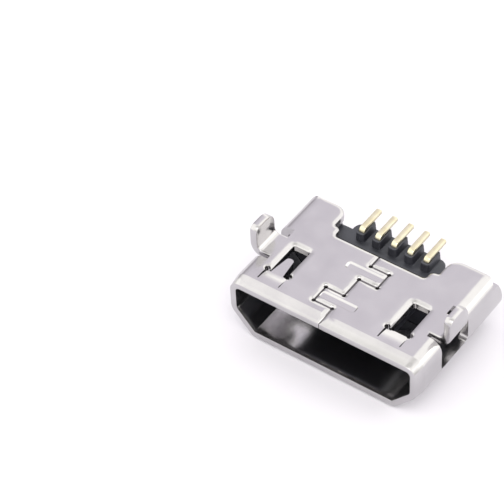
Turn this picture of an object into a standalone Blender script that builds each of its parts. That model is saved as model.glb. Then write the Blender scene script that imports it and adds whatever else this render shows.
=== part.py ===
"""Micro USB socket: one folded steel shell, one moulded insulator and five flat contacts.

The socket lies on its narrow smooth face with the seam face up. X runs across the mouth,
Y runs from the mouth at the front to the solder feet at the back, Z is up. Units are metres.
Lengths along Y are measured from the mouth. At the end all pieces move forward together, so
that the origin lies below the middle of the whole socket.
"""
import math

import bmesh
import bpy
from mathutils import Matrix

MM = 0.001

# Folded sheet and its section
SHEET = 0.30 * MM
WIDTH = 7.54 * MM
HEIGHT = 2.38 * MM
CHAMFER_RUN = 0.70 * MM
CHAMFER_RISE = 0.79 * MM
SEAM_BEND = 0.47 * MM
WALL_BEND = 0.55 * MM
FOLD_BEND = 0.18 * MM
LIP_DROP = 0.07 * MM
LIP_LENGTH = 0.45 * MM

# Rolled outer edge that a punched opening leaves
ROLL_WIDTH = 0.22 * MM
SHELF_ROLL = 0.15 * MM
ROLL_DEPTH = 0.08 * MM

# Lengths along Y
WALL_END = 5.24 * MM
EAR_END = 4.93 * MM
PLATE_END = 4.85 * MM
PLATE_RECESS = 4.43 * MM

# Wall end: how far below the seam face its curve starts, turns and runs out
WALL_STEP = 0.36 * MM
WALL_TURN = 0.76 * MM
WALL_HEEL = 1.06 * MM
WALL_SLOPE = 0.35 * MM
WALL_LEAN = 0.08 * MM
WALL_TURN_CORNER = 0.30 * MM
WALL_HEEL_CORNER = 0.20 * MM

# Middle of what is punched in the seam face: the rear opening, the windows and the seam
PATTERN_X = -0.09 * MM

# Rear opening of the seam face: shelf part beside the contacts, wider part between the ears
SHELF_FRONT = 3.63 * MM
SHELF_MARGIN = 0.52 * MM
EAR_STEP = 0.41 * MM
EAR_LEDGE = 0.28 * MM
EAR_CORNER = 0.30 * MM

# Latch windows and their spring flaps
WINDOW_SIDE = 1.04 * MM
WINDOW_WIDTH = 0.66 * MM
WINDOW_CORNER = 0.10 * MM
WINDOW_REAR = 2.53 * MM
FLAP_ROOT = 0.57 * MM
FLAP_CREASE = 1.08 * MM
FLAP_LENGTH = 0.90 * MM
FLAP_SIDE = 0.03 * MM
FLAP_WIDTH = 0.48 * MM
TIP_SIDE = 0.14 * MM
TIP_WIDTH = 0.26 * MM
FLAP_DROP_CREASE = 0.10 * MM
FLAP_DROP_LEFT = 0.13 * MM
FLAP_DROP_RIGHT = 0.95 * MM
SLIT = 0.04 * MM
SLIT_SIDE = 0.11 * MM
RELIEF = 0.10 * MM
BULGE_SIDE = 0.04 * MM
BULGE = 0.13 * MM

# Side openings and board legs
OPENING_FRONT = 1.46 * MM
OPENING_REAR = 3.08 * MM
OPENING_DEEP = 0.29 * MM
LEG_FRONT = 1.62 * MM
LEG_WIDTH = 1.06 * MM
LEG_STANDOFF = 0.23 * MM
LEG_BEND = 0.50 * MM
LEG_RISE = 0.95 * MM
LEG_EDGE = 0.05 * MM

# Interlocking seam
SEAM_GAP = 0.02 * MM
SEAM_ROLL = 0.16 * MM
TONGUE_REACH = 0.73 * MM
TONGUE_DEPTH = 0.71 * MM
FRONT_TONGUE = 0.79 * MM
REAR_TONGUE = 2.39 * MM
SEAM_RELIEF = 0.06 * MM
GROOVE_LENGTH = 1.34 * MM
GROOVE_WIDTH = 0.22 * MM
GROOVE_DEPTH = 0.06 * MM

# Rear edge of the narrow face, with its lance hole and wing slots
TAB_SHARE = 0.415
RECESS_HALF = 0.42 * MM
RECESS_SLOPE = 0.20 * MM
NOTCH_FRONT = 3.80 * MM
NOTCH_WIDTH = 0.25 * MM
LOBE_GAP = 0.22 * MM
LOBE_END = 5.09 * MM
LOBE_CORNER = 0.30 * MM
HOLE_HALF = 0.52 * MM
HOLE_FRONT = 3.66 * MM
HOLE_REAR = 4.10 * MM
LANCE_RUN = 0.30 * MM
LANCE_RISE = 0.16 * MM
LANCE_GAP = 0.12 * MM
SLOT_MARGIN = 0.35 * MM
SLOT_REAR = 4.66 * MM
SLOT_WIDTH = 0.15 * MM
WING_SIDE = 0.34 * MM
WING_GAP = 0.09 * MM
WING_SHEET = 0.17 * MM
WING_ROOT = 0.06 * MM
WING_RUN = 0.46 * MM
WING_RISE = 0.26 * MM

# Contacts
PITCH = 0.65 * MM
CONTACT_COUNT = 5
CONTACT_WIDTH = 0.22 * MM
CONTACT_SHEET = 0.14 * MM
CONTACT_TIP = 0.71 * MM
CONTACT_BEND = 0.12 * MM
FOOT_RISE = 0.04 * MM
FOOT_END = 5.48 * MM
FOOT_START = 4.33 * MM
FOOT_CORNER = 0.05 * MM

# Insulator
FIT = 0.02 * MM
BODY_FRONT = 3.30 * MM
BODY_REAR = 4.58 * MM
BLOCK_REAR = 5.00 * MM
BLOCK_MARGIN = 0.52 * MM
BLOCK_CORNER = 0.34 * MM
BLOCK_LOW = 0.80 * MM
SHELF_DROP = 0.45 * MM
SHELF_GROOVE = 3.88 * MM
SHELF_GROOVE_WIDTH = 0.09 * MM
SHELF_GROOVE_DEPTH = 0.08 * MM
TOOTH_FRONT = 4.22 * MM
TOOTH_MARGIN = 0.05 * MM
TONGUE_MARGIN = 0.45 * MM
TONGUE_FRONT = 0.70 * MM
TONGUE_DROP = 0.60 * MM
TONGUE_THICK = 0.50 * MM
WING_CLEARANCE = 0.17 * MM

CONTACT_NAMES = ("vbus_contact", "d_minus_contact", "d_plus_contact", "id_contact", "ground_contact")
CONTACT_SPAN = (CONTACT_COUNT - 1) / 2 * PITCH

# Inner half width of the narrow face, and what is punched in it
NARROW_HALF = WIDTH / 2 - SHEET - CHAMFER_RUN
TAB_HALF = TAB_SHARE * NARROW_HALF
NOTCH_OUTER = TAB_HALF + NOTCH_WIDTH
SLOT_OUTER = NARROW_HALF - SLOT_MARGIN

# How far a cutter reaches past what it cuts
CLEAR = 0.3 * MM
FAR = 1 * MM


def fresh_scene():
    for item in list(bpy.data.objects):
        bpy.data.objects.remove(item, do_unlink=True)


def collection(name):
    made = bpy.data.collections.new(name)
    bpy.context.scene.collection.children.link(made)
    return made


def rounded(corners, step=math.radians(18)):
    """Closed outline from (a, b, radius) corners, each corner turned into an arc.

    Where an edge is too short for the arcs at both of its ends, both are made smaller.
    """
    count = len(corners)
    halves, backs = [], []
    for index, (ax, ay, radius) in enumerate(corners):
        (px, py, _), (nx, ny, _) = corners[index - 1], corners[(index + 1) % count]
        turn = math.atan2(ny - ay, nx - ax) - math.atan2(py - ay, px - ax)
        half = abs((turn + math.pi) % (2 * math.pi) - math.pi) / 2
        sharp = radius <= 0 or half > math.radians(89)
        halves.append(half)
        backs.append(0.0 if sharp else radius / math.tan(half))
    limits = [1.0] * count
    for index in range(count):
        after = (index + 1) % count
        (ax, ay, _), (bx, by, _) = corners[index], corners[after]
        needed = backs[index] + backs[after]
        if needed > 0:
            limit = 0.99 * math.hypot(bx - ax, by - ay) / needed
            limits[index], limits[after] = min(limits[index], limit), min(limits[after], limit)
    outline = []
    for index, (ax, ay, _) in enumerate(corners):
        back = backs[index] * limits[index]
        if back <= 0:
            outline.append((ax, ay))
            continue
        (px, py, _), (nx, ny, _) = corners[index - 1], corners[(index + 1) % count]
        before, after = math.hypot(px - ax, py - ay), math.hypot(nx - ax, ny - ay)
        sx, sy = ax + (px - ax) / before * back, ay + (py - ay) / before * back
        ex, ey = ax + (nx - ax) / after * back, ay + (ny - ay) / after * back
        reach = back / math.cos(halves[index]) ** 2
        cx, cy = ax + (sx + ex - 2 * ax) / 2 * reach / back, ay + (sy + ey - 2 * ay) / 2 * reach / back
        start, end = math.atan2(sy - cy, sx - cx), math.atan2(ey - cy, ex - cx)
        radius = math.hypot(sx - cx, sy - cy)
        turn = (end - start + math.pi) % (2 * math.pi) - math.pi
        pieces = max(1, math.ceil(abs(turn) / step))
        for k in range(pieces + 1):
            angle = start + turn * k / pieces
            outline.append((cx + radius * math.cos(angle), cy + radius * math.sin(angle)))
    return outline


def shifted(outline, distance):
    return [(a + distance, b) for a, b in outline]


def ring(x, y, radius, sides):
    return [(x + radius * math.cos(k * 2 * math.pi / sides), y + radius * math.sin(k * 2 * math.pi / sides))
            for k in range(sides)]


def mirrored_corners(corners):
    return [(-a, b, radius) for a, b, radius in reversed(corners)]


def grown(outline, distance):
    """Closed outline moved outward by a distance, each corner along its mitre."""
    area = sum(a * d - c * b for (a, b), (c, d) in zip(outline, outline[1:] + outline[:1]))
    out = math.copysign(distance, area)
    moved = []
    for index, (a, b) in enumerate(outline):
        before, after = outline[index - 1], outline[(index + 1) % len(outline)]
        ux, uy = a - before[0], b - before[1]
        vx, vy = after[0] - a, after[1] - b
        ul, vl = math.hypot(ux, uy), math.hypot(vx, vy)
        nx, ny = uy / ul + vy / vl, -ux / ul - vx / vl
        size = (nx * nx + ny * ny) / 2
        moved.append((a + nx / size * out, b + ny / size * out))
    return moved


AXES = {
    "x": Matrix(((0, 0, 1, 0), (1, 0, 0, 0), (0, 1, 0, 0), (0, 0, 0, 1))),
    "y": Matrix(((1, 0, 0, 0), (0, 0, -1, 0), (0, 1, 0, 0), (0, 0, 0, 1))),
    "z": Matrix.Identity(4),
}


def prism(name, group, outline, axis, low, high):
    """Filled outline swept between two positions on one axis.

    The outline is given in (y, z) for axis x, in (x, z) for axis y and in (x, y) for axis z.
    """
    curve = bpy.data.curves.new(name, "CURVE")
    curve.dimensions = "2D"
    curve.fill_mode = "BOTH"
    spline = curve.splines.new("POLY")
    spline.points.add(len(outline) - 1)
    for point, (a, b) in zip(spline.points, outline):
        point.co = (a, b, 0, 1)
    spline.use_cyclic_u = True
    curve.extrude = (high - low) / 2
    middle = (high + low) / 2
    if axis == "y":
        middle = -middle
    return as_mesh(name, group, curve, AXES[axis] @ Matrix.Translation((0, 0, middle)))


def as_mesh(name, group, curve, placed):
    holder = bpy.data.objects.new(name, curve)
    bpy.context.scene.collection.objects.link(holder)
    bpy.context.view_layer.update()
    mesh = bpy.data.meshes.new_from_object(holder.evaluated_get(bpy.context.evaluated_depsgraph_get()))
    bpy.data.objects.remove(holder, do_unlink=True)
    bpy.data.curves.remove(curve)
    mesh.name = name
    mesh.transform(placed)
    return from_mesh(name, group, mesh)


def from_mesh(name, group, mesh):
    shape = bmesh.new()
    shape.from_mesh(mesh)
    bmesh.ops.remove_doubles(shape, verts=shape.verts, dist=1e-7)
    bmesh.ops.recalc_face_normals(shape, faces=shape.faces)
    for face in shape.faces:
        face.smooth = False
    shape.to_mesh(mesh)
    shape.free()
    item = bpy.data.objects.new(name, mesh)
    group.objects.link(item)
    return item


def loft(name, group, rings):
    """Closed solid through rings, each an outline and its height, all with as many points."""
    shape = bmesh.new()
    loops = [[shape.verts.new((a, b, height)) for a, b in outline] for outline, height in rings]
    count = len(loops[0])
    for lower, upper in zip(loops, loops[1:]):
        for k in range(count):
            after = (k + 1) % count
            shape.faces.new((lower[k], lower[after], upper[after], upper[k]))
    shape.faces.new(loops[0])
    shape.faces.new(loops[-1])
    mesh = bpy.data.meshes.new(name)
    shape.to_mesh(mesh)
    shape.free()
    return from_mesh(name, group, mesh)


def roll_profile(width, depth):
    """(outset, drop below the surface) steps of the rounded edge at the top of a cutter."""
    steps = [(width * (1 - math.cos(angle)), depth * (1 - math.sin(angle)))
             for angle in (0, math.radians(30), math.radians(60))]
    (wide, low), (wider, lower) = steps[-1], (width, 0)
    past = 1.3
    return steps + [(wide + (wider - wide) * past, low + (lower - low) * past)]


def punch(name, group, outline, low, width=ROLL_WIDTH, depth=ROLL_DEPTH):
    """Cutter through the seam face that leaves a rolled edge at the surface."""
    steps = roll_profile(width, depth)
    rings = [(outline, low)] + [(grown(outline, out), HEIGHT - drop) for out, drop in steps]
    rings.append((grown(outline, steps[-1][0]), HEIGHT + CLEAR))
    return loft(name, group, rings)


def box(name, group, low, high):
    shape = bmesh.new()
    bmesh.ops.create_cube(shape, size=1.0)
    size = [high[k] - low[k] for k in range(3)]
    middle = [(high[k] + low[k]) / 2 for k in range(3)]
    bmesh.ops.transform(shape, verts=shape.verts,
                        matrix=Matrix.Translation(middle) @ Matrix.Diagonal((*size, 1)))
    mesh = bpy.data.meshes.new(name)
    shape.to_mesh(mesh)
    shape.free()
    return from_mesh(name, group, mesh)


def hide(item):
    item.hide_render = True
    item.display_type = "WIRE"
    return item


def boolean(item, other, operation):
    step = item.modifiers.new(f"{operation.lower()} {other.name}", "BOOLEAN")
    step.operation = operation
    step.solver = "EXACT"
    step.object = hide(other)
    return item


def cut(item, other):
    return boolean(item, other, "DIFFERENCE")


def add(item, other):
    return boolean(item, other, "UNION")


def bevel(item, width, segments=2, angle=math.radians(50)):
    step = item.modifiers.new("rounding", "BEVEL")
    step.width = width
    step.segments = segments
    step.limit_method = "ANGLE"
    step.angle_limit = angle
    return item


def strip_outline(path, thickness):
    """Outline of a bent strip of even thickness that follows a centre line."""
    sides = ([], [])
    for index, (a, b) in enumerate(path):
        before = path[max(index - 1, 0)]
        after = path[min(index + 1, len(path) - 1)]
        directions = []
        for (pa, pb), (qa, qb) in ((before, (a, b)), ((a, b), after)):
            length = math.hypot(qa - pa, qb - pb)
            if length > 0:
                directions.append(((qa - pa) / length, (qb - pb) / length))
        da = sum(d[0] for d in directions) / len(directions)
        db = sum(d[1] for d in directions) / len(directions)
        length = math.hypot(da, db)
        reach = thickness / 2 / length
        sides[0].append((a - db / length * reach, b + da / length * reach))
        sides[1].append((a + db / length * reach, b - da / length * reach))
    return sides[0] + sides[1][::-1]


def bend(path, radius, step=math.radians(18)):
    """Open centre line with each inner corner turned into an arc."""
    corners = [(*path[0], 0)] + [(a, b, radius) for a, b in path[1:-1]] + [(*path[-1], 0)]
    return rounded(corners, step)


def mirror_x(name, group, item):
    mesh = item.data.copy()
    mesh.transform(Matrix.Diagonal((-1, 1, 1, 1)))
    return from_mesh(name, group, mesh)


def both_sides(item, tool, tools, operation):
    """Cuts or adds a tool and its mirror image."""
    boolean(item, tool, operation)
    boolean(item, mirror_x(f"{tool.name}_left", tools, tool), operation)


def shell_outline(inset):
    """Section of the shell at a depth below its outer face, in (x, z)."""
    lean = math.atan(CHAMFER_RUN / CHAMFER_RISE)
    inner_half = WIDTH / 2 - SHEET
    back = SHEET - inset
    half = WIDTH / 2 - inset
    wall_low = SHEET + CHAMFER_RISE - back * math.tan(lean / 2)
    narrow = inner_half - CHAMFER_RUN + back * math.tan((math.pi / 2 - lean) / 2)
    seam, wall, fold = (max(r - inset, 0.03 * MM) for r in (SEAM_BEND, WALL_BEND, FOLD_BEND))
    right = [(half, HEIGHT - inset, seam), (half, wall_low, wall), (narrow, inset, fold)]
    return rounded(right + mirrored_corners(right))


def shell_tube(name, group, tools):
    """Folded section with a lip that curves in towards the mouth."""
    outer = prism(name, group, shell_outline(0.0), "y", 0.0, WALL_END)
    squeeze = LIP_DROP / LIP_LENGTH
    outer.data.transform(Matrix.Diagonal((1, squeeze, 1, 1)))
    shape = bmesh.new()
    shape.from_mesh(outer.data)
    front = [e for e in shape.edges if all(abs(v.co.y) < 1e-8 for v in e.verts) and len(e.link_faces) == 2
             and any(abs(f.normal.y) < 0.5 for f in e.link_faces)]
    bmesh.ops.bevel(shape, geom=front, offset=LIP_DROP, offset_type="OFFSET", segments=4, profile=0.5,
                    affect="EDGES")
    bmesh.ops.transform(shape, verts=shape.verts, matrix=Matrix.Diagonal((1, 1 / squeeze, 1, 1)))
    bmesh.ops.recalc_face_normals(shape, faces=shape.faces)
    shape.to_mesh(outer.data)
    shape.free()
    hollow = prism("shell_hollow", tools, shell_outline(SHEET), "y", -FAR, WALL_END + FAR)
    return cut(outer, hollow)


def trim_rear(shell, tools):
    """Rounded wall ends, ears and the shelf opening of the seam face."""
    far, top = WALL_END + FAR, HEIGHT + FAR
    wall = [(EAR_END + 0.04 * MM, top, 0), (EAR_END + 0.04 * MM, HEIGHT - WALL_STEP, 0.10 * MM),
            (WALL_END - WALL_LEAN, HEIGHT - WALL_TURN, WALL_TURN_CORNER),
            (WALL_END, HEIGHT - WALL_HEEL, WALL_HEEL_CORNER), (WALL_END, HEIGHT - WALL_HEEL - WALL_SLOPE, 0),
            (WALL_END - WALL_SLOPE, -CLEAR, 0), (far, -CLEAR, 0), (far, top, 0)]
    cut(shell, prism("wall_end_trim", tools, rounded(wall), "x", -WIDTH, WIDTH))
    shelf, step = CONTACT_SPAN + SHELF_MARGIN, SHELF_FRONT + EAR_STEP
    ear, half, corner = shelf + EAR_LEDGE, WIDTH / 2 + 0.10 * MM, EAR_CORNER + SHELF_ROLL
    right = [(shelf, SHELF_FRONT, 0.12 * MM), (shelf, step, SHELF_ROLL + 0.05 * MM), (ear, step, 0.06 * MM),
             (ear, EAR_END, corner), (half, EAR_END, corner), (half, EAR_END - 2 * corner, 0),
             (WIDTH, EAR_END - 2 * corner, 0), (WIDTH, far, 0)]
    outline = shifted(rounded(mirrored_corners(right) + right), PATTERN_X)
    cut(shell, punch("shelf_opening", tools, outline, HEIGHT - SHEET - 0.05 * MM, SHELF_ROLL))


def trim_narrow_face(shell, tools):
    """Rear edge of the narrow face, the hole with its lance, the slots with their wings."""
    low, high = -FAR, SHEET + 0.05 * MM
    far = WALL_END + FAR
    edge = NARROW_HALF + 0.15 * MM
    notch = NOTCH_OUTER
    right = [(RECESS_HALF, PLATE_RECESS, 0.15 * MM), (RECESS_HALF + RECESS_SLOPE, PLATE_END, 0.18 * MM),
             (TAB_HALF, PLATE_END, 0.22 * MM), (TAB_HALF, NOTCH_FRONT, 0.05 * MM),
             (notch, NOTCH_FRONT, 0.05 * MM), (notch + LOBE_GAP, LOBE_END, LOBE_CORNER), (edge, LOBE_END, 0),
             (edge, far, 0)]
    cut(shell, prism("narrow_face_end", tools, rounded(mirrored_corners(right) + right), "z", low, high))
    hole = [(-HOLE_HALF, HOLE_FRONT, 0.08 * MM), (HOLE_HALF, HOLE_FRONT, 0.08 * MM),
            (HOLE_HALF, HOLE_REAR, 0.08 * MM), (-HOLE_HALF, HOLE_REAR, 0.08 * MM)]
    cut(shell, prism("lance_hole", tools, rounded(hole), "z", low, high))
    inner = notch + WING_SIDE
    slot = [(notch - 0.10 * MM, NOTCH_FRONT, 0.05 * MM), (SLOT_OUTER, NOTCH_FRONT, 0.05 * MM),
            (SLOT_OUTER, SLOT_REAR, 0.12 * MM), (inner, SLOT_REAR, 0.12 * MM),
            (inner, NOTCH_FRONT + SLOT_WIDTH, 0.05 * MM),
            (notch - 0.10 * MM, NOTCH_FRONT + SLOT_WIDTH, 0.05 * MM)]
    both_sides(shell, prism("wing_slot", tools, rounded(slot), "z", low, high), tools, "DIFFERENCE")
    middle = SHEET / 2
    lance = strip_outline(raised_path(HOLE_REAR, middle, LANCE_RUN, LANCE_RISE), WING_SHEET)
    reach = HOLE_HALF - LANCE_GAP
    add(shell, prism("lance", tools, lance, "x", -reach, reach))
    wing = strip_outline(raised_path(SLOT_REAR, middle, WING_RUN, WING_RISE), WING_SHEET)
    both_sides(shell, prism("wing", tools, wing, "x", inner + WING_GAP, SLOT_OUTER - WING_GAP), tools,
               "UNION")


def raised_path(root, level, run, rise):
    """Centre line in (y, z) of a tab that leaves its sheet at a root and curves up, towards the mouth."""
    return [(root + WING_ROOT, level), (root - WING_ROOT, level), (root - run * 0.58, level + rise * 0.37),
            (root - run, level + rise)]


def open_sides(shell, tools):
    """The opening that each leg leaves in its side wall, down to the fold of the wall."""
    low, top = SHEET + CHAMFER_RISE, HEIGHT + FAR
    outline = [(OPENING_FRONT, low, 0.14 * MM), (OPENING_REAR, low, 0.20 * MM), (OPENING_REAR, top, 0),
               (OPENING_FRONT, top, 0)]
    inner = WIDTH / 2 - SHEET - OPENING_DEEP
    both_sides(shell, prism("side_opening", tools, rounded(outline), "x", inner, WIDTH), tools, "DIFFERENCE")


def board_legs(shell, tools):
    """Legs cut out of the side walls, carried outward in the seam face and turned up."""
    middle = HEIGHT - SHEET / 2
    column = WIDTH / 2 + LEG_STANDOFF - SHEET / 2
    rear = LEG_FRONT + LEG_WIDTH
    root = WIDTH / 2 - SHEET - OPENING_DEEP - 0.18 * MM
    path = bend([(root, middle), (column, middle), (column, HEIGHT + LEG_RISE + CLEAR)],
                LEG_BEND - SHEET / 2, math.radians(15))
    tip = [(LEG_FRONT, HEIGHT - FAR, 0), (rear, HEIGHT - FAR, 0), (rear, HEIGHT + LEG_RISE, 0.45 * MM),
           (LEG_FRONT, HEIGHT + LEG_RISE, 0.22 * MM)]
    for side, name in ((1, "right"), (-1, "left")):
        outline = [(side * x, z) for x, z in strip_outline(path, SHEET)]
        leg = prism(f"leg_{name}", tools, outline, "y", LEG_FRONT - CLEAR, rear + CLEAR)
        ends = sorted((side * (root - FAR), side * (column + FAR)))
        boolean(leg, prism(f"leg_tip_{name}", tools, rounded(tip), "x", *ends), "INTERSECT")
        bevel(leg, LEG_EDGE)
        add(shell, leg)


def latch_windows(shell, tools):
    """Latch windows with their slits and relief corners, and the spring flaps bent into them.

    Both windows have the slit and the small relief on the side of the lower x, and a bulge in the
    corner of the higher x.
    """
    low, middle = HEIGHT - SHEET - 0.05 * MM, HEIGHT - SHEET / 2
    outer = WIDTH / 2 - WINDOW_SIDE
    front, tip = FLAP_CREASE + 0.06 * MM, FLAP_CREASE + FLAP_LENGTH
    for name, side, drop in (("right", 1, FLAP_DROP_RIGHT), ("left", -1, FLAP_DROP_LEFT)):
        start, end = span(side, outer, WINDOW_WIDTH)
        root_start, root_end = span(side, outer - FLAP_SIDE, FLAP_WIDTH)
        tip_start, tip_end = span(side, outer - TIP_SIDE, TIP_WIDTH)
        near, far = start - SLIT_SIDE, end + BULGE_SIDE
        window = rounded([(start, front, 0.04 * MM), (end, front, 0.04 * MM),
                          (end, WINDOW_REAR, WINDOW_CORNER), (start, WINDOW_REAR, WINDOW_CORNER)])
        root = [(near - SLIT, FLAP_ROOT), (far + SLIT, FLAP_ROOT), (far + SLIT, front), (near - SLIT, front)]
        cut(shell, punch(f"window_{name}", tools, window, low))
        cut(shell, prism(f"flap_root_{name}", tools, root, "z", low, HEIGHT + CLEAR))
        for corner, x, y, radius in (("relief", near, front, RELIEF),
                                     ("bulge", far, front + BULGE / 4, BULGE)):
            cut(shell, punch(f"{corner}_{name}", tools, ring(x, y, radius, 12), low,
                             ROLL_WIDTH / 3, ROLL_DEPTH / 2))
        path = [(FLAP_ROOT - 0.08 * MM, middle), (FLAP_ROOT, middle),
                ((FLAP_ROOT + FLAP_CREASE) / 2, middle - FLAP_DROP_CREASE * 0.35),
                (FLAP_CREASE, middle - FLAP_DROP_CREASE), (tip + CLEAR, middle - drop)]
        flap = prism(f"flap_{name}", tools, strip_outline(path, SHEET), "x", near - FAR, far + FAR)
        plan = rounded([(near, 0, 0), (far, 0, 0), (far, FLAP_CREASE, 0.05 * MM),
                        (root_end, FLAP_CREASE + 0.05 * MM, 0.03 * MM), (tip_end, tip, 0.12 * MM),
                        (tip_start, tip, 0.12 * MM), (root_start, FLAP_CREASE + 0.05 * MM, 0.03 * MM),
                        (near, FLAP_CREASE, 0.05 * MM)])
        boolean(flap, prism(f"flap_plan_{name}", tools, plan, "z", 0, HEIGHT + FAR), "INTERSECT")
        add(shell, flap)


def span(side, outer, width):
    """Lower and higher x of something that lies so far out on one side of the pattern's middle."""
    ends = sorted((side * outer, side * (outer - width)))
    return PATTERN_X + ends[0], PATTERN_X + ends[1]


def seam_corners():
    x, reach = PATTERN_X, TONGUE_REACH
    front, rear = FRONT_TONGUE, REAR_TONGUE
    return [(x, -FAR), (x, front), (x - reach, front), (x - reach, front + TONGUE_DEPTH),
            (x, front + TONGUE_DEPTH), (x, rear), (x + reach, rear), (x + reach, rear + TONGUE_DEPTH),
            (x, rear + TONGUE_DEPTH), (x, SHELF_FRONT + FAR / 2)]


def cut_seam(shell, tools):
    """Hairline along the two hooked tongues with rolled edges, and round reliefs in its corners."""
    corners = seam_corners()
    low = HEIGHT - SHEET - 0.10 * MM
    half = SEAM_GAP / 2
    steps = roll_profile(SEAM_ROLL, ROLL_DEPTH)
    side = [(half, low)] + [(half + out, HEIGHT - drop) for out, drop in steps]
    side.append((side[-1][0], HEIGHT + CLEAR))
    section = side + [(-a, z) for a, z in reversed(side)]
    for index, ((ax, ay), (bx, by)) in enumerate(zip(corners, corners[1:])):
        length = math.hypot(bx - ax, by - ay)
        run = prism(f"seam_{index}", tools, section, "y", 0, length)
        turn = Matrix.Rotation(math.atan2(-(bx - ax), by - ay), 4, "Z")
        run.data.transform(Matrix.Translation((ax, ay, 0)) @ turn)
        cut(shell, run)
    for index, (x, y) in enumerate(corners[1:-1]):
        cut(shell, punch(f"seam_relief_{index}", tools, ring(x, y, SEAM_RELIEF, 10), low,
                         SEAM_ROLL + half - SEAM_RELIEF, ROLL_DEPTH))


def press_grooves(shell, tools):
    """Coined grooves along the two tongues."""
    end = TONGUE_REACH - 0.06 * MM
    for name, x, y in (("front", PATTERN_X - end, FRONT_TONGUE + TONGUE_DEPTH / 2),
                       ("rear", PATTERN_X + end - GROOVE_LENGTH, REAR_TONGUE + TONGUE_DEPTH / 2)):
        half = GROOVE_WIDTH / 2
        outline = rounded([(x, y - half, 0.05 * MM), (x + GROOVE_LENGTH, y - half, 0.05 * MM),
                           (x + GROOVE_LENGTH, y + half, 0.05 * MM), (x, y + half, 0.05 * MM)],
                          math.radians(45))
        top = HEIGHT + CLEAR
        slope = GROOVE_DEPTH * 1.2
        rings = [(outline, HEIGHT - GROOVE_DEPTH), (grown(outline, slope), HEIGHT + GROOVE_DEPTH * 0.2),
                 (grown(outline, slope), top)]
        cut(shell, loft(f"{name}_groove", tools, rings))


def build_shell(parts, tools):
    shell = shell_tube("shell", parts, tools)
    trim_rear(shell, tools)
    trim_narrow_face(shell, tools)
    open_sides(shell, tools)
    board_legs(shell, tools)
    latch_windows(shell, tools)
    press_grooves(shell, tools)
    cut_seam(shell, tools)
    return shell


def contact_path():
    foot = HEIGHT + FOOT_RISE - CONTACT_SHEET / 2
    run = HEIGHT - TONGUE_DROP - CONTACT_SHEET / 2
    drop = FOOT_START + CONTACT_SHEET / 2
    return bend([(FOOT_END, foot), (drop, foot), (drop, run), (CONTACT_TIP, run)], CONTACT_BEND,
                math.radians(22.5))


def build_contact(name, group, x, grow=0.0, reach=0.0):
    path = contact_path()
    if reach:
        path = [(FOOT_END + reach, path[0][1])] + path[1:-1] + [(CONTACT_TIP - grow, path[-1][1])]
    outline = strip_outline(path, CONTACT_SHEET + 2 * grow)
    half = CONTACT_WIDTH / 2 + grow
    return prism(name, group, outline, "x", x - half, x + half)


def round_foot(contact):
    """Rounds the two corners of a contact's foot in plan."""
    shape = bmesh.new()
    shape.from_mesh(contact.data)
    bmesh.ops.dissolve_limit(shape, angle_limit=math.radians(0.5), verts=shape.verts, edges=shape.edges)
    end = max(v.co.y for v in shape.verts) - 0.001 * MM
    tips = [e for e in shape.edges if all(v.co.y > end for v in e.verts)
            and abs(e.verts[0].co.z - e.verts[1].co.z) > CONTACT_SHEET / 2]
    bmesh.ops.bevel(shape, geom=tips, offset=FOOT_CORNER, offset_type="OFFSET", segments=3, profile=0.5,
                    affect="EDGES")
    shape.to_mesh(contact.data)
    shape.free()


def build_insulator(parts, tools):
    shelf_top = HEIGHT - SHELF_DROP
    body = prism("insulator", parts, shell_outline(SHEET + FIT), "y", BODY_FRONT, BODY_REAR)
    tongue_top, tongue_half = HEIGHT - TONGUE_DROP, CONTACT_SPAN + TONGUE_MARGIN
    tongue_low = tongue_top - TONGUE_THICK
    tongue = prism("tongue", tools, rounded([
        (-tongue_half, tongue_low, 0.10 * MM), (tongue_half, tongue_low, 0.10 * MM),
        (tongue_half, tongue_top, 0.04 * MM), (-tongue_half, tongue_top, 0.04 * MM)]),
        "y", TONGUE_FRONT, BODY_FRONT + 0.2 * MM)
    block_half = CONTACT_SPAN + BLOCK_MARGIN
    block = prism("rear_block", tools, rounded([
        (-block_half, BODY_FRONT + 0.6 * MM, 0), (block_half, BODY_FRONT + 0.6 * MM, 0),
        (block_half, BLOCK_REAR, BLOCK_CORNER), (-block_half, BLOCK_REAR, BLOCK_CORNER)]),
        "z", BLOCK_LOW, shelf_top)
    add(body, tongue)
    add(body, block)
    ear = CONTACT_SPAN + SHELF_MARGIN + EAR_LEDGE + abs(PATTERN_X)
    shelf = box("shelf_cut", tools, (-ear - 0.05 * MM, BODY_FRONT - 0.1 * MM, shelf_top),
                (ear + 0.05 * MM, BLOCK_REAR + 0.1 * MM, HEIGHT))
    cut(body, shelf)
    groove = box("shelf_groove", tools, (-ear, SHELF_GROOVE, shelf_top - SHELF_GROOVE_DEPTH),
                 (ear, SHELF_GROOVE + SHELF_GROOVE_WIDTH, HEIGHT))
    cut(body, groove)
    wing = SLOT_OUTER + 0.08 * MM
    cut(body, box("wing_clearance", tools, (-wing, NOTCH_FRONT - 0.1 * MM, 0.0),
                  (wing, WALL_END, (SHEET + WING_SHEET) / 2 + WING_RISE + WING_CLEARANCE)))
    for index in range(CONTACT_COUNT):
        x = index * PITCH - CONTACT_SPAN
        half = CONTACT_WIDTH / 2 + TOOTH_MARGIN
        top = HEIGHT + FOOT_RISE - CONTACT_SHEET - FIT / 2
        tooth = rounded([(x - half, TOOTH_FRONT, 0.09 * MM), (x + half, TOOTH_FRONT, 0.09 * MM),
                         (x + half, BLOCK_REAR - 0.01 * MM, 0.03 * MM),
                         (x - half, BLOCK_REAR - 0.01 * MM, 0.03 * MM)], math.radians(30))
        add(body, loft(f"tooth_{index}", tools, [(grown(tooth, 0.03 * MM), shelf_top - 0.05 * MM),
                                                 (tooth, top)]))
        cut(body, build_contact(f"groove_{index}", tools, x, FIT / 2, 0.5 * MM))
    return body


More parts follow.
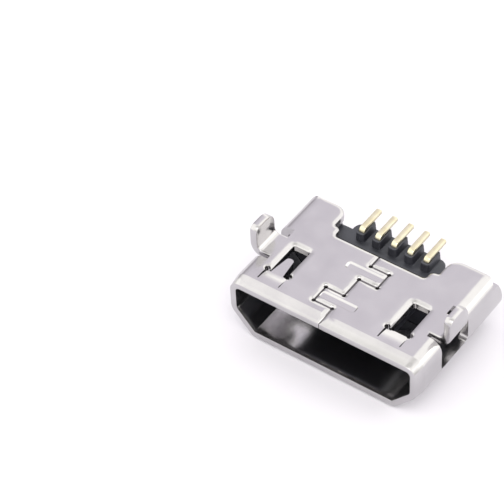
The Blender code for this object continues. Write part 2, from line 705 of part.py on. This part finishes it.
def material(name, colour, metallic, roughness):
    made = bpy.data.materials.new(name)
    made.use_nodes = True
    shader = made.node_tree.nodes["Principled BSDF"]
    shader.inputs["Base Color"].default_value = (*colour, 1)
    shader.inputs["Metallic"].default_value = metallic
    shader.inputs["Roughness"].default_value = roughness
    return made


def main():
    fresh_scene()
    parts = collection("micro_usb_socket")
    tools = collection("construction")
    plated = material("nickel_plated_steel", (0.74, 0.72, 0.71), 1.0, 0.28)
    moulded = material("black_moulded_plastic", (0.02, 0.02, 0.025), 0.0, 0.5)
    gold = material("gold_plated_contact", (0.88, 0.76, 0.45), 1.0, 0.3)
    shell = build_shell(parts, tools)
    shell.data.materials.clear()
    shell.data.materials.append(plated)
    insulator = build_insulator(parts, tools)
    insulator.data.materials.clear()
    insulator.data.materials.append(moulded)
    for index, name in enumerate(CONTACT_NAMES):
        contact = build_contact(name, parts, index * PITCH - CONTACT_SPAN)
        round_foot(contact)
        contact.data.materials.clear()
        contact.data.materials.append(gold)
    for item in list(parts.objects) + list(tools.objects):
        item.location.y = -FOOT_END / 2
    bpy.context.view_layer.update()


main()
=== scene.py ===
"""Looks of a micro USB socket: plated folded shell, black moulded insulator, gold contacts.

The socket lies on its smooth face with the seam face and the board legs up. Each piece takes
its shape from its solid in the frame, with its small edges rounded and its bends shaded smooth.
"""
import math

import bmesh
import bpy
from mathutils import Matrix, Vector


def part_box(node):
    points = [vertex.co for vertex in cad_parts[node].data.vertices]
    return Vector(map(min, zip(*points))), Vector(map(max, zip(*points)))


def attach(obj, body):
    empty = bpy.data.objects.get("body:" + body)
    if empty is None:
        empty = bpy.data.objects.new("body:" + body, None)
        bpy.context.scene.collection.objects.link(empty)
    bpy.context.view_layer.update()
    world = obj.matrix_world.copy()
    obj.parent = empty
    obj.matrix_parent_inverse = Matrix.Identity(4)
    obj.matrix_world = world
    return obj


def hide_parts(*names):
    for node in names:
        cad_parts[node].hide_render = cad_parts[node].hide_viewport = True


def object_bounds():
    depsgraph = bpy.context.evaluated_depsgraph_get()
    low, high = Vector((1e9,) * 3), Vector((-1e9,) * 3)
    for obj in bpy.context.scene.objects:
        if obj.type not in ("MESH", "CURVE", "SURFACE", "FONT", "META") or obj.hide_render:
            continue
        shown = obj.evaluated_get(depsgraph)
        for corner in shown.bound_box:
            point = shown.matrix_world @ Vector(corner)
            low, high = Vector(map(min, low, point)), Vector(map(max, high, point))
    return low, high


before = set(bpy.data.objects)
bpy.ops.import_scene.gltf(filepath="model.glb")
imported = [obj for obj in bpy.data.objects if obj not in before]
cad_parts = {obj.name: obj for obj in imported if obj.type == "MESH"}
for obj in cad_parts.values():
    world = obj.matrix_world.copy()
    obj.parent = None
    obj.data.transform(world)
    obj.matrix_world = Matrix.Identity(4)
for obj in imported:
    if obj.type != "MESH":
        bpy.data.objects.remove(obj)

MM = 0.001

# The photograph's view of the socket: direction, roll, distance, the point in the middle, the
# lens, and how near and how far it sees
AZIMUTH = math.radians(38.02)
ELEVATION = math.radians(45.66)
ROLL = math.radians(-3.32)
DISTANCE = 77.94 * MM
AIM = Vector((-3.6807, -1.4521, 2.5623)) * MM
LENS = 165.44
SENSOR = 36.0
NEAREST = 0.001
FARTHEST = 10

# Edge rounding of the small pieces
CONTACT_EDGE = 0.02 * MM
INSULATOR_EDGE = 0.03 * MM

# The lip of the mouth: how far it runs back, how far it turns in, its rounding, the facets of its
# quarter turn in the solid, and the share of its length at each end that stays as it is
LIP_LENGTH = 0.45 * MM
LIP_DROP = 0.07 * MM
LIP_EDGE = 0.03 * MM
LIP_FACETS = 4
LIP_MARGIN = 1e-4

# A face is part of a wall where its normal runs less than this along the mouth's depth. Normals
# that cancel out to less than the shortest one give no direction.
WALL_FACING = 0.7
SHORTEST_NORMAL = 0.1

# Corners closer than this are one, and points closer to a plane or to the lip's crease lie on it
MERGE = 1e-7
ON_PLANE = 1e-8
ON_CREASE = 1e-6

# Turns between faces: flat under the first, one smooth bend under the second, and at the rear end
# of the lip a crease from the third on
FLAT_ANGLE = math.radians(0.5)
BEND_ANGLE = math.radians(32)
LIP_ANGLE = math.radians(4)

# Spacing of the cuts through large faces
GRID = 0.29 * MM

# Finishes: the two colours of each one's tint, its range of roughness, and its textures' depths
NICKEL_TINT = ((0.475, 0.464, 0.476, 1), (0.525, 0.515, 0.522, 1))
NICKEL_ROUGHNESS = (0.14, 0.24)
CLOUD_DEPTH = 0.004 * MM
DENT_DEPTH = 0.0036 * MM
ROLLING_DEPTH = 0.0003 * MM
PIT_DEPTH = 0.0004 * MM
PLASTIC_TINT = ((0.008, 0.008, 0.012, 1), (0.018, 0.018, 0.026, 1))
PLASTIC_ROUGHNESS = (0.34, 0.56)
PLASTIC_SHEEN = 0.9
PLASTIC_SHEEN_TINT = (0.88, 0.91, 1.0, 1)
MOULD_DEPTH = 0.003 * MM
GOLD_TINT = ((0.60, 0.545, 0.37, 1), (0.68, 0.64, 0.50, 1))
GOLD_ROUGHNESS = (0.22, 0.40)
STAMPING_DEPTH = 0.0015 * MM

# The floor: half its width, and the gap that keeps it clear of the socket's smooth face
FLOOR_SIZE = 0.5
FLOOR_GAP = 0.01 * MM
FLOOR_COLOUR = (0.68, 0.665, 0.72, 1)
FLOOR_ROUGHNESS = 0.9

# Colours of the tent, and of its grey card near the white and at its far end
TENT_WHITE = (1.86, 1.84, 1.76, 1)
TENT_GREY = (1.16, 1.11, 1.19, 1)
TENT_SLATE = (0.66, 0.63, 0.67, 1)

# The grey card, a strip of the tent on the side that the seam face mirrors, as parts of a
# direction: the y of its middle line, how far from it in y it fades out, the x where it fades out,
# and the x where it turns from slate to grey
CARD_REAR = 0.551
CARD_HALF = (0.17, 0.25)
CARD_SIDE = (-0.27, -0.20)
CARD_DEEP = (-0.80, -0.50)

# The tent's panels dim over this stretch toward their middles, down to this share
PANEL_FADE = (0.88, 0.98)
PANEL_MIDDLE = 0.58

# Softboxes: their distance, and each one's name, direction from the socket, width, height, power
# in watts and colour
SOFTBOX_DISTANCE = 0.20
SOFTBOXES = (("overhead", (0.15, -0.35, 1.0), 0.10, 0.08, 0.060, (1.0, 0.99, 0.96)),
             ("right_rear", (0.68, 0.52, 0.50), 0.12, 0.10, 0.030, (1.0, 0.99, 0.95)))


def lip_drop(along):
    """Drop of the solid's lip so far along, as a share of the whole."""
    turns = [math.radians(90 * k / LIP_FACETS) for k in range(LIP_FACETS + 1)]
    corners = [(1 - math.sin(turn), 1 - math.cos(turn)) for turn in turns]
    for (far, high), (near, low) in zip(corners, corners[1:]):
        if along >= near:
            return low + (high - low) * (along - near) / (far - near)
    return 1.0


def join_flat_faces(shape):
    bmesh.ops.dissolve_limit(shape, angle_limit=FLAT_ANGLE, verts=shape.verts, edges=shape.edges)


def join_corners(shape):
    bmesh.ops.remove_doubles(shape, verts=shape.verts, dist=MERGE)


def round_edges(shape, edges, width):
    bmesh.ops.bevel(shape, geom=edges, offset=width, offset_type="OFFSET", segments=2, profile=0.5,
                    affect="EDGES", clamp_overlap=True)


def sharp_edges(shape):
    return [edge for edge in shape.edges if edge.calc_face_angle(0) > BEND_ANGLE]


def straighten_lip(shape):
    """Turns the lip's curve into an even slope, and rounds the rim of the mouth."""
    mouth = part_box("shell")[0].y
    middle = (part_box("shell")[0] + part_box("shell")[1]) / 2
    shape.normal_update()
    moves = []
    for vert in shape.verts:
        along = (vert.co.y - mouth) / LIP_LENGTH
        if not LIP_MARGIN < along < 1 - LIP_MARGIN:
            continue
        walls = [face.normal for face in vert.link_faces if abs(face.normal.y) < WALL_FACING]
        out = sum(walls, Vector())
        out.y = 0
        above = Vector((0, 0, vert.co.z - middle.z))
        beside = Vector((vert.co.x, 0, 0))
        away = above if abs(out.z) > abs(out.x) else beside
        if out.length > SHORTEST_NORMAL and out.dot(away) > 0:
            extra = LIP_DROP * (1 - along - lip_drop(along))
            moves.append((vert, out.normalized() * -extra))
    for vert, move in moves:
        vert.co += move
    join_flat_faces(shape)
    rim = [edge for edge in sharp_edges(shape) if all(v.co.y < mouth + ON_PLANE for v in edge.verts)]
    round_edges(shape, rim, LIP_EDGE)
    join_corners(shape)


def divide(shape):
    """Cuts large faces into a grid, so that each bend's shading stays beside the bend."""
    low = [min(v.co[axis] for v in shape.verts) for axis in range(2)]
    high = [max(v.co[axis] for v in shape.verts) for axis in range(2)]
    for axis in range(2):
        normal = Vector((axis == 0, axis == 1, 0))
        for k in range(1, math.ceil((high[axis] - low[axis]) / GRID)):
            everything = shape.verts[:] + shape.edges[:] + shape.faces[:]
            bmesh.ops.bisect_plane(shape, geom=everything, dist=ON_PLANE,
                                   plane_co=normal * (low[axis] + k * GRID), plane_no=normal)


def smooth_bends(shape, node):
    """Shades bends as one, and keeps corners and the rear end of the shell's lip sharp."""
    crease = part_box("shell")[0].y + LIP_LENGTH
    for face in shape.faces:
        face.smooth = True
    for edge in shape.edges:
        at_lip = node == "shell" and all(abs(v.co.y - crease) < ON_CREASE for v in edge.verts)
        edge.smooth = edge.calc_face_angle(0) < (LIP_ANGLE if at_lip else BEND_ANGLE)


def refine(node, material, edge_width=0.0):
    """Puts a copy of a solid with rounded edges and smooth bends in the solid's place."""
    shape = bmesh.new()
    shape.from_mesh(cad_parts[node].data)
    join_corners(shape)
    if node == "shell":
        straighten_lip(shape)
    join_flat_faces(shape)
    if edge_width:
        round_edges(shape, sharp_edges(shape), edge_width)
    divide(shape)
    smooth_bends(shape, node)
    mesh = bpy.data.meshes.new(node + "_finish")
    shape.to_mesh(mesh)
    shape.free()
    mesh.materials.append(material)
    piece = bpy.data.objects.new(node + "_finish", mesh)
    bpy.context.scene.collection.objects.link(piece)
    weighted = piece.modifiers.new("even shading", "WEIGHTED_NORMAL")
    weighted.keep_sharp = True
    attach(piece, "root")
    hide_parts(node)


class Nodes:
    """Short hand for building a node tree."""

    def __init__(self, tree):
        self.tree = tree

    def fill(self, node, inputs):
        """Gives inputs, by name or number, a plain value or another node's output."""
        for name, value in inputs.items():
            if isinstance(value, bpy.types.NodeSocket):
                self.tree.links.new(value, node.inputs[name])
            else:
                node.inputs[name].default_value = value

    def add(self, kind, inputs, **settings):
        node = self.tree.nodes.new(kind)
        for name, value in settings.items():
            setattr(node, name, value)
        self.fill(node, inputs)
        return node

    def worked_out(self, operation, *values):
        """Result of an operation on numbers, each plain or from another node."""
        inputs = dict(enumerate(values))
        return self.add("ShaderNodeMath", inputs, operation=operation).outputs["Value"]

    def ramped(self, value, start, end, limits=(0.0, 1.0)):
        """Runs from start to end while the value runs between its limits, and holds beyond."""
        ends = {"From Min": limits[0], "From Max": limits[1], "To Min": start, "To Max": end}
        return self.add("ShaderNodeMapRange", {"Value": value, **ends}).outputs["Result"]

    def mixed(self, share, first, second):
        """Colour between two, with this share of the second."""
        inputs = {"Factor": share, "A": first, "B": second}
        return self.add("ShaderNodeMix", inputs, data_type="RGBA").outputs["Result"]


class Finish(Nodes):
    """A material, with textures that read the place on the piece."""

    def __init__(self, name):
        self.material = bpy.data.materials.new(name)
        self.material.use_nodes = True
        super().__init__(self.material.node_tree)
        self.shader = self.tree.nodes["Principled BSDF"]
        self.place = self.add("ShaderNodeTexCoord", {}).outputs["Object"]

    def noise(self, scale, detail, roughness=0.5, stretch=(1.0, 1.0, 1.0)):
        place = self.add("ShaderNodeMapping", {"Vector": self.place, "Scale": stretch})
        inputs = {"Vector": place.outputs["Vector"], "Scale": scale, "Detail": detail,
                  "Roughness": roughness}
        return self.add("ShaderNodeTexNoise", inputs).outputs["Fac"]

    def tint(self, value, colours, limits=(0.3, 0.7)):
        """Runs from one colour to another while the value runs between its limits."""
        node = self.add("ShaderNodeValToRGB", {"Fac": value})
        for stop, position, colour in zip(node.color_ramp.elements, limits, colours):
            stop.position = position
            stop.color = colour
        return node.outputs["Color"]

    def bump(self, height, distance, strength, below=None):
        inputs = {"Height": height, "Distance": distance, "Strength": strength}
        if below is not None:
            inputs["Normal"] = below
        return self.add("ShaderNodeBump", inputs).outputs["Normal"]


def plated_steel():
    """Bright nickel over rolled steel strip: faint rolling lines, soft waviness, fine pits."""
    made = Finish("nickel_plated_steel")
    rolling = made.noise(scale=26000, detail=4.0, roughness=0.6, stretch=(1.0, 0.05, 1.0))
    cloud = made.noise(scale=900, detail=2.0)
    dents = made.noise(scale=5200, detail=3.0, roughness=0.6)
    pits = made.noise(scale=42000, detail=2.0)
    wavy = made.bump(cloud, CLOUD_DEPTH, strength=0.6)
    dented = made.bump(dents, DENT_DEPTH, strength=0.6, below=wavy)
    rolled = made.bump(rolling, ROLLING_DEPTH, strength=0.3, below=dented)
    made.fill(made.shader, {"Base Color": made.tint(cloud, NICKEL_TINT),
                            "Metallic": 1.0,
                            "Roughness": made.ramped(rolling, *NICKEL_ROUGHNESS),
                            "Normal": made.bump(pits, PIT_DEPTH, strength=0.4, below=rolled)})
    return made.material


def moulded_plastic():
    """Black glass-filled plastic: slate sheen, fine eroded-mould grain."""
    made = Finish("black_moulded_plastic")
    grain = made.noise(scale=16000, detail=4.0, roughness=0.6)
    flow = made.noise(scale=1800, detail=3.0, stretch=(0.3, 1.0, 1.0))
    made.fill(made.shader, {"Base Color": made.tint(flow, PLASTIC_TINT, limits=(0.3, 0.75)),
                            "Roughness": made.ramped(grain, *PLASTIC_ROUGHNESS),
                            "Specular IOR Level": PLASTIC_SHEEN,
                            "Specular Tint": PLASTIC_SHEEN_TINT,
                            "Normal": made.bump(grain, MOULD_DEPTH, strength=0.6)})
    return made.material


def gold_plate():
    """Pale flash gold over stamped copper alloy, with faint lines along the contact."""
    made = Finish("gold_plated_contact")
    lines = made.noise(scale=22000, detail=4.0, roughness=0.6, stretch=(1.0, 0.06, 1.0))
    patch = made.noise(scale=3200, detail=3.0)
    made.fill(made.shader, {"Base Color": made.tint(patch, GOLD_TINT),
                            "Metallic": 1.0,
                            "Roughness": made.ramped(lines, *GOLD_ROUGHNESS),
                            "Normal": made.bump(lines, STAMPING_DEPTH, strength=0.6)})
    return made.material


def studio_floor(height):
    made = Finish("studio_floor")
    made.fill(made.shader, {"Base Color": FLOOR_COLOUR, "Roughness": FLOOR_ROUGHNESS})
    mesh = bpy.data.meshes.new("studio_floor")
    shape = bmesh.new()
    bmesh.ops.create_grid(shape, x_segments=1, y_segments=1, size=FLOOR_SIZE)
    shape.to_mesh(mesh)
    shape.free()
    mesh.materials.append(made.material)
    floor = bpy.data.objects.new("studio_floor", mesh)
    bpy.context.scene.collection.objects.link(floor)
    floor.location.z = height


def softbox(name, direction, width, height, power, colour):
    """Area light that looks at the socket from a direction."""
    light = bpy.data.lights.new(name, "AREA")
    light.shape = "RECTANGLE"
    light.size = width
    light.size_y = height
    light.energy = power
    light.color = colour
    lamp = bpy.data.objects.new(name, light)
    bpy.context.scene.collection.objects.link(lamp)
    away = Vector(direction).normalized()
    lamp.location = away * SOFTBOX_DISTANCE
    lamp.rotation_euler = away.to_track_quat("Z", "Y").to_euler()


def studio_tent():
    """White tent of panels with darker middles, and a grey card behind that the seam face and
    its left bend mirror."""
    world = bpy.data.worlds.new("studio")
    world.use_nodes = True
    made = Nodes(world.node_tree)
    direction = made.add("ShaderNodeTexCoord", {}).outputs["Generated"]
    toward = made.add("ShaderNodeSeparateXYZ", {"Vector": direction}).outputs
    aside = made.worked_out("ABSOLUTE", made.worked_out("SUBTRACT", toward["Y"], CARD_REAR))
    card = made.worked_out("MULTIPLY", made.ramped(aside, 1.0, 0.0, CARD_HALF),
                           made.ramped(toward["X"], 1.0, 0.0, CARD_SIDE))
    grey = made.mixed(made.ramped(toward["X"], 0.0, 1.0, CARD_DEEP), TENT_SLATE, TENT_GREY)

    size = made.add("ShaderNodeVectorMath", {0: direction}, operation="ABSOLUTE").outputs["Vector"]
    part = made.add("ShaderNodeSeparateXYZ", {"Vector": size}).outputs
    facing = made.worked_out("MAXIMUM", made.worked_out("MAXIMUM", part["X"], part["Y"]), part["Z"])
    light = {"Color": made.mixed(card, TENT_WHITE, grey),
             "Strength": made.ramped(facing, 1.0, PANEL_MIDDLE, PANEL_FADE)}
    made.fill(made.tree.nodes["Background"], light)
    bpy.context.scene.world = world


def camera():
    back = Vector((math.sin(AZIMUTH) * math.cos(ELEVATION), -math.cos(AZIMUTH) * math.cos(ELEVATION),
                   math.sin(ELEVATION)))
    level = Vector((math.cos(AZIMUTH), math.sin(AZIMUTH), 0))
    across = level * math.cos(ROLL) + back.cross(level) * math.sin(ROLL)
    turn = Matrix((across, back.cross(across), back)).transposed()
    lens = bpy.data.cameras.new("camera")
    lens.lens = LENS
    lens.sensor_width = SENSOR
    lens.clip_start = NEAREST
    lens.clip_end = FARTHEST
    holder = bpy.data.objects.new("camera", lens)
    bpy.context.scene.collection.objects.link(holder)
    holder.matrix_world = Matrix.Translation(AIM + back * DISTANCE) @ turn.to_4x4()
    bpy.context.scene.camera = holder


def dress():
    refine("shell", plated_steel())
    refine("insulator", moulded_plastic(), INSULATOR_EDGE)
    gold = gold_plate()
    for node in sorted(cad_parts):
        if node.endswith("_contact"):
            refine(node, gold, CONTACT_EDGE)


bpy.context.view_layer.update()
cad_low, cad_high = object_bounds()
bpy.context.scene.view_settings.view_transform = "Standard"
camera()
studio_floor(cad_low.z - FLOOR_GAP)
studio_tent()
for box in SOFTBOXES:
    softbox(*box)
dress()
bpy.context.view_layer.update()
